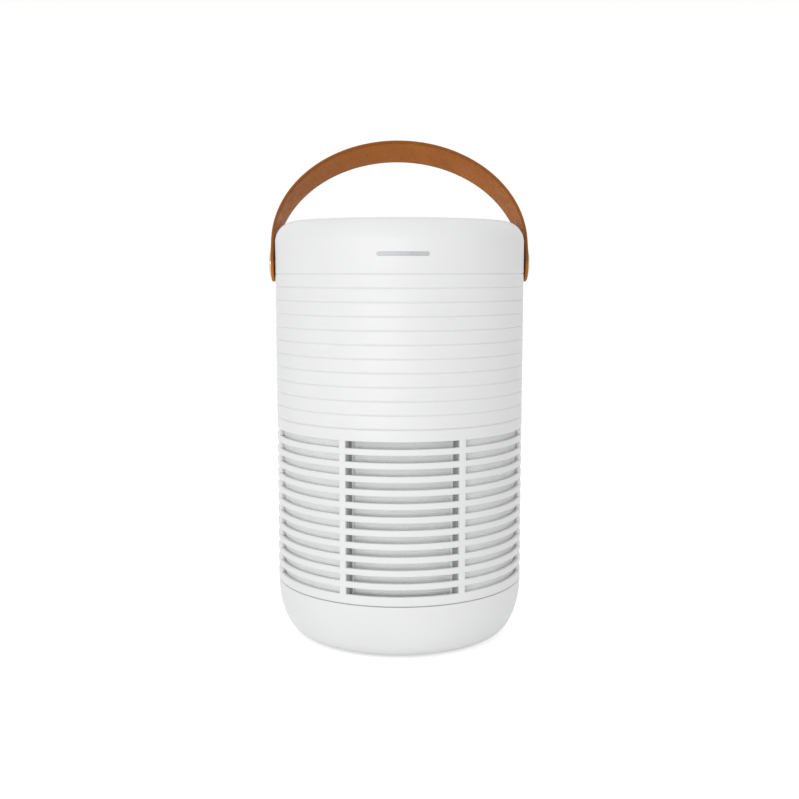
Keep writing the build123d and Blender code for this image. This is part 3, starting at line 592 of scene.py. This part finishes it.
def make_grille_bars():
    """The level bars: one below each row of slots, and the taller one on top."""
    outlines = []
    for k in range(SLOT_ROWS):
        level = GRILLE_Z0 + BAR_PITCH * k
        low = level + SLOT_HEIGHT / 2 if k else GRILLE_Z0
        outlines.append(bar_outline(low, level + BAR_PITCH - SLOT_HEIGHT / 2,
                                    level + BAR_PITCH / 2))
    top_low = GRILLE_Z0 + BAR_PITCH * SLOT_ROWS + SLOT_HEIGHT / 2
    outlines.append(bar_outline(top_low, GRILLE_Z1, GRILLE_Z1 - BAR_PITCH / 2))
    bars = lathe("intake_grille_bars", outlines, "white_shell", 40)
    sink_mark(bars, GRILLE_Z0 + BAR_PITCH / 2)
    return bars


def pillar_outline(turn):
    """Section of one pillar, curved like the housing, with rounded front edges."""
    outer, edge = BODY_R - PILLAR_INSET, PILLAR_EDGE
    half = PILLAR_WIDTH / 2
    corner = math.sqrt(outer**2 - half**2) - edge
    sideways = [(half - edge) * k / 4 for k in range(-3, 4)]
    local = arc(corner, -half + edge, edge, -90, 0, 4)[:-1]
    local += [(math.sqrt(outer**2 - y**2), y) for y in sideways]
    local += arc(corner, half - edge, edge, 0, 90, 4)[1:]
    local += [(INNER_R, half), (INNER_R, -half)]
    cos, sin = math.cos(turn), math.sin(turn)
    return [(x * cos - y * sin, x * sin + y * cos) for x, y in local]


def make_grille_pillars():
    """The upright pillars between the grille's sections, the first at the rear."""
    z_low = GRILLE_Z0 + BAR_PITCH - SLOT_HEIGHT / 2 - PILLAR_LAP
    z_high = GRILLE_Z1 - TOP_BAR + SLOT_HEIGHT / 2 + PILLAR_LAP
    spread = {SECTIONS // 2: -FRONT_SPREAD, SECTIONS // 2 + 1: FRONT_SPREAD}
    vertices, faces = [], []
    for k in range(SECTIONS):
        outline = pillar_outline(math.pi / 2 + FULL_TURN * k / SECTIONS + spread.get(k, 0))
        faces += shifted(block_faces(len(outline)), len(vertices))
        vertices += [(x, y, z) for z in (z_low, z_high) for x, y in outline]
    return make_object("intake_grille_pillars", vertices, faces, "white_shell")


def sleeve_outline(turn):
    """Pre-filter felt: stands out through the cage's windows, except at the front one."""
    step = FULL_TURN / SECTIONS
    from_fin = (turn - math.pi / 2) % step
    from_fin = min(from_fin, step - from_fin)
    front = math.cos(turn + math.pi / 2) > math.cos(step / 2)
    near, far = sleeve_high[0], INNER_R - PAD_GAP
    clear = from_fin > CAGE_FIN / 2 / near + FULL_TURN / SEGMENTS
    radius = far if clear and not front else near
    inner = near - SLEEVE_WALL
    low, high = cage_low[2] + CAGE_RING, cage_high[2] - CAGE_RING
    return [(near, sleeve_low[2]), (near, low), (radius, low + SLEEVE_EDGE),
            (radius, high - SLEEVE_EDGE), (near, high), (near, sleeve_high[2]),
            (inner, sleeve_high[2]), (inner, sleeve_low[2])]


# ------------------------------------------------------------------ top collar
def lens_cutter(columns=48):
    """Slim pill wrapped on the front of the housing, to seat the indicator lens."""
    half_length = (indicator_high[0] - indicator_low[0]) / 2 + FIT_GAP
    half_height = (indicator_high[2] - indicator_low[2]) / 2 + FIT_GAP
    middle = (indicator_high[2] + indicator_low[2]) / 2
    r_in, r_out = BODY_R - LENS_SEAT, BODY_R + 3 * MM
    least_rise = 0.002 * MM
    vertices = []
    for k in range(columns + 1):
        along = half_length * -math.cos(math.pi * k / columns)
        past = max(0.0, abs(along) - (half_length - half_height))
        rise = max(math.sqrt(max(0.0, half_height**2 - past**2)), least_rise)
        turn = -math.pi / 2 + along / BODY_R
        vertices += [(r * math.cos(turn), r * math.sin(turn), middle + up) for r, up in
                     ((r_out, rise), (r_out, -rise), (r_in, -rise), (r_in, rise))]
    faces = bands(columns + 1, 4, closed=False)
    faces += [(0, 1, 2, 3), tuple(4 * columns + i for i in (3, 2, 1, 0))]
    return make_object("cutter", vertices, faces, "white_shell")


def make_top_collar():
    """Smooth top ring: rounded shoulder, rim, and the ledge that carries the outlet grille."""
    shoulder_r, shoulder_z = BODY_R - SHOULDER_R, BODY_H - SHOULDER_R
    rim_r = shoulder_r - RIM_LAND
    ledge_r = rim_r - LEDGE_WIDTH
    ledge_z = BODY_H - LEDGE_DEPTH
    ledge_low = ledge_z - WALL
    seam_r = BODY_R - COLLAR_SEAM
    outline = [(seam_r, SHELL_Z1)]
    outline += arc(seam_r, SHELL_Z1 + COLLAR_SEAM, COLLAR_SEAM, -90, 0, 3)[1:]
    outline += arc(shoulder_r, shoulder_z, SHOULDER_R, 0, 90, 28)
    outline += arc(rim_r + RIM_LIP, BODY_H - RIM_LIP, RIM_LIP, 90, 180, 6)
    outline += [(rim_r, ledge_z), (ledge_r, ledge_z), (ledge_r, ledge_low)]
    neck = rim_r + WALL
    run = neck - BODY_R + SHOULDER_R
    rise = math.sqrt((SHOULDER_R - WALL)**2 - run**2)
    outline += [(neck, ledge_low)]
    outline += arc(shoulder_r, shoulder_z, SHOULDER_R - WALL,
                   math.degrees(math.atan2(rise, run)), 0, 16)
    outline += [(INNER_R, SHELL_Z1)]
    collar = lathe("top_collar_skin", [outline], "white_shell")
    cut_away(collar, lens_cutter())
    return collar


# ------------------------------------------------------------------ base cover
def quarter_ellipse(inset, count):
    """Lower quarter of the base's side, from the flat floor up to the rim."""
    reach, rise = BASE_REACH - inset, base_high[2] - base_low[2] - inset
    turns = [math.pi / 2 * k / count for k in range(count + 1)]
    return [(BODY_R - BASE_REACH + reach * math.sin(turn), base_high[2] - rise * math.cos(turn))
            for turn in turns]


def make_base_cover():
    """Twist-off base: rounded dish with a groove for the foot ring and a rounded seam edge."""
    low, high = base_low[2], base_high[2]
    groove_z, groove_r = foot_high[2], foot_high[1]
    seam_turns = [math.pi / 2 * (1 - k / 6) for k in range(7)]
    outline = [(BASE_HOLE_R, low), (groove_r - FOOT_GROOVE, low),
               (groove_r - FOOT_GROOVE, groove_z), (groove_r, groove_z), (groove_r, low)]
    outline += [point for point in quarter_ellipse(0, 72) if point[1] < high - 2 * BASE_SEAM]
    outline += [(BODY_R - BASE_SEAM * (1 - math.sin(turn)), high - BASE_SEAM * (1 - math.cos(turn)))
                for turn in seam_turns]
    outline += [(INNER_R, high)] + quarter_ellipse(WALL, 30)[::-1] + [(BASE_HOLE_R, low + WALL)]
    cover = lathe("base_cover_skin", [outline], "white_shell")
    sink_mark(cover, high - BAR_PITCH / 2)
    return cover


# ------------------------------------------------------------------ strap
def strap_ring():
    """Closed section: distance from the middle line, side of it, and height off mid-thickness."""
    half, thick, edge = STRAP_WIDTH / 2, STRAP_WALL / 2, STRAP_EDGE
    turns = [math.pi / 2 * k / 5 for k in range(6)]
    corner = [(edge * (1 - math.cos(turn)), thick - edge + edge * math.sin(turn))
              for turn in turns]
    crease = [(STRAP_CREASE + shift * MM, thick - drop * MM) for shift, drop in
              ((-0.55, 0), (-0.3, 0.1), (-0.1, 0.24), (0.1, 0.24), (0.3, 0.1), (0.55, 0))]
    flat = [(half * share, thick) for share in (0.32, 0.5, 0.75, 1.0)]
    outer = corner + crease + flat
    inner = [(inset, -height) for inset, height in corner + flat]
    near = [(half - inset, 1, height) for inset, height in outer]
    far = [(half - inset, -1, height) for inset, height in outer[-2::-1] + inner]
    return near + far + [(half - inset, 1, height) for inset, height in inner[-2::-1]]


def strap_place(x, up, across):
    """Place of a point given in the strap's leaning plane."""
    sin, cos = math.sin(LEAN), math.cos(LEAN)
    return (x, up * sin - across * cos, PIVOT_Z + up * cos + across * sin)


def make_strap():
    """Leather band: rounded end tabs, straight legs and a half-ellipse arch."""
    one_end = [("tab", math.pi / 2 * k / 14) for k in range(14)]
    one_end += [("leg", STRAP_STRAIGHT * k / 8) for k in range(8)]
    rows = [(kind, value, 1) for kind, value in one_end]
    rows += [("arch", math.pi * k / 180, 1) for k in range(181)]
    rows += [(kind, value, -1) for kind, value in reversed(one_end)]
    ring = strap_ring()
    vertices = []
    for kind, value, mirror in rows:
        for reach, side, height in ring:
            x, up, across = STRAP_MID + height, value, side * reach
            if kind == "tab":
                up = -reach * math.cos(value)
                across *= math.sin(value)
            elif kind == "arch":
                x *= math.cos(value)
                up = STRAP_STRAIGHT + (STRAP_ARCH - STRAP_STRAIGHT + height) * math.sin(value)
            vertices.append(strap_place(x * mirror, up, across))
    faces = bands(len(rows), len(ring), closed=False)
    return make_object("handle_strap_skin", vertices, faces, "leather", 40)


# ------------------------------------------------------------------ the pieces
shell_skin = make_ribbed_shell()
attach(shell_skin, "housing")
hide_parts("ribbed_shell")

for piece in (make_grille_bars(), make_grille_pillars()):
    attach(piece, "housing")
    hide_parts("intake_grille")

sleeve_skin = lathe("prefilter_sleeve_skin", [sleeve_outline], "filter_felt")
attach(sleeve_skin, "housing")
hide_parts("prefilter_sleeve")

collar_skin = make_top_collar()
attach(collar_skin, "housing")
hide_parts("top_collar")

strap_skin = make_strap()
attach(strap_skin, "handle")
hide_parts("handle_strap")

base_skin = make_base_cover()
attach(base_skin, "base")
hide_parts("base_cover")


# ------------------------------------------------------------------ camera and stage
def add_camera():
    """Eye just under the top plane, a little to the left, looking slightly down."""
    data = bpy.data.cameras.new("camera")
    data.lens = CAMERA_LENS
    data.sensor_width = 36.0
    camera = bpy.data.objects.new("camera", data)
    camera.location = (math.sin(CAMERA_TURN) * CAMERA_DISTANCE,
                       -math.cos(CAMERA_TURN) * CAMERA_DISTANCE, BODY_H - CAMERA_DROP)
    camera.rotation_euler = (math.pi / 2 - CAMERA_PITCH, 0, CAMERA_TURN)
    bpy.context.scene.collection.objects.link(camera)
    bpy.context.scene.camera = camera


def area_lamp(name, place, size, power):
    """Soft lamp turned towards the object."""
    data = bpy.data.lights.new(name, "AREA")
    data.shape = "RECTANGLE"
    data.size, data.size_y = size
    data.energy = power
    lamp = bpy.data.objects.new(name, data)
    lamp.location = place
    aim = Vector(LAMP_TARGET) - Vector(place)
    lamp.rotation_euler = aim.to_track_quat("-Z", "Y").to_euler()
    bpy.context.scene.collection.objects.link(lamp)


def background_rays(tree):
    """1 for camera rays, and for mirror and glass rays, which show that background too."""
    path = tree.nodes.new("ShaderNodeLightPath")
    share = path.outputs["Is Camera Ray"]
    for name in ("Is Glossy Ray", "Is Transmission Ray"):
        either = tree.nodes.new("ShaderNodeMath")
        either.operation = "MAXIMUM"
        tree.links.new(share, either.inputs[0])
        tree.links.new(path.outputs[name], either.inputs[1])
        share = either.outputs[0]
    return share


def add_world():
    """Plain soft ambient light; camera, mirror and glass rays see white."""
    world = bpy.data.worlds.new("studio")
    bpy.context.scene.world = world
    world.use_nodes = True
    tree = world.node_tree
    tree.nodes.clear()
    out = tree.nodes.new("ShaderNodeOutputWorld")
    mix = tree.nodes.new("ShaderNodeMixShader")
    lit = tree.nodes.new("ShaderNodeBackground")
    seen = tree.nodes.new("ShaderNodeBackground")
    lit.inputs["Color"].default_value = (AMBIENT, AMBIENT, AMBIENT * AMBIENT_BLUE, 1)
    seen.inputs["Color"].default_value = (SHOWN_WHITE, SHOWN_WHITE, SHOWN_WHITE, 1)
    tree.links.new(background_rays(tree), mix.inputs[0])
    tree.links.new(lit.outputs[0], mix.inputs[1])
    tree.links.new(seen.outputs[0], mix.inputs[2])
    tree.links.new(mix.outputs[0], out.inputs[0])


def add_floor():
    """White floor that keeps the shadow; a glow that lights nothing takes it to plain white."""
    material = bpy.data.materials.new("floor_white")
    material.use_nodes = True
    tree = material.node_tree
    tree.nodes.clear()
    out = tree.nodes.new("ShaderNodeOutputMaterial")
    diffuse = tree.nodes.new("ShaderNodeBsdfDiffuse")
    diffuse.inputs["Color"].default_value = (FLOOR_ALBEDO, FLOOR_ALBEDO, FLOOR_ALBEDO, 1)
    glow = tree.nodes.new("ShaderNodeEmission")
    strength = tree.nodes.new("ShaderNodeMath")
    strength.operation = "MULTIPLY"
    strength.inputs[1].default_value = FLOOR_GLOW
    add = tree.nodes.new("ShaderNodeAddShader")
    tree.links.new(background_rays(tree), strength.inputs[0])
    tree.links.new(strength.outputs[0], glow.inputs["Strength"])
    tree.links.new(diffuse.outputs[0], add.inputs[0])
    tree.links.new(glow.outputs[0], add.inputs[1])
    tree.links.new(add.outputs[0], out.inputs[0])
    mesh = bpy.data.meshes.new("floor")
    corners = [(x * FLOOR_HALF, y * FLOOR_HALF, 0) for x, y in ((-1, -1), (1, -1), (1, 1), (-1, 1))]
    mesh.from_pydata(corners, [], [(0, 1, 2, 3)])
    mesh.materials.append(material)
    floor = bpy.data.objects.new("floor", mesh)
    bpy.context.scene.collection.objects.link(floor)


add_camera()
add_world()
add_floor()
for lamp_name, lamp_place, lamp_size, lamp_power in LAMPS:
    area_lamp(lamp_name, lamp_place, lamp_size, lamp_power)

bpy.context.scene.view_settings.view_transform = "Standard"
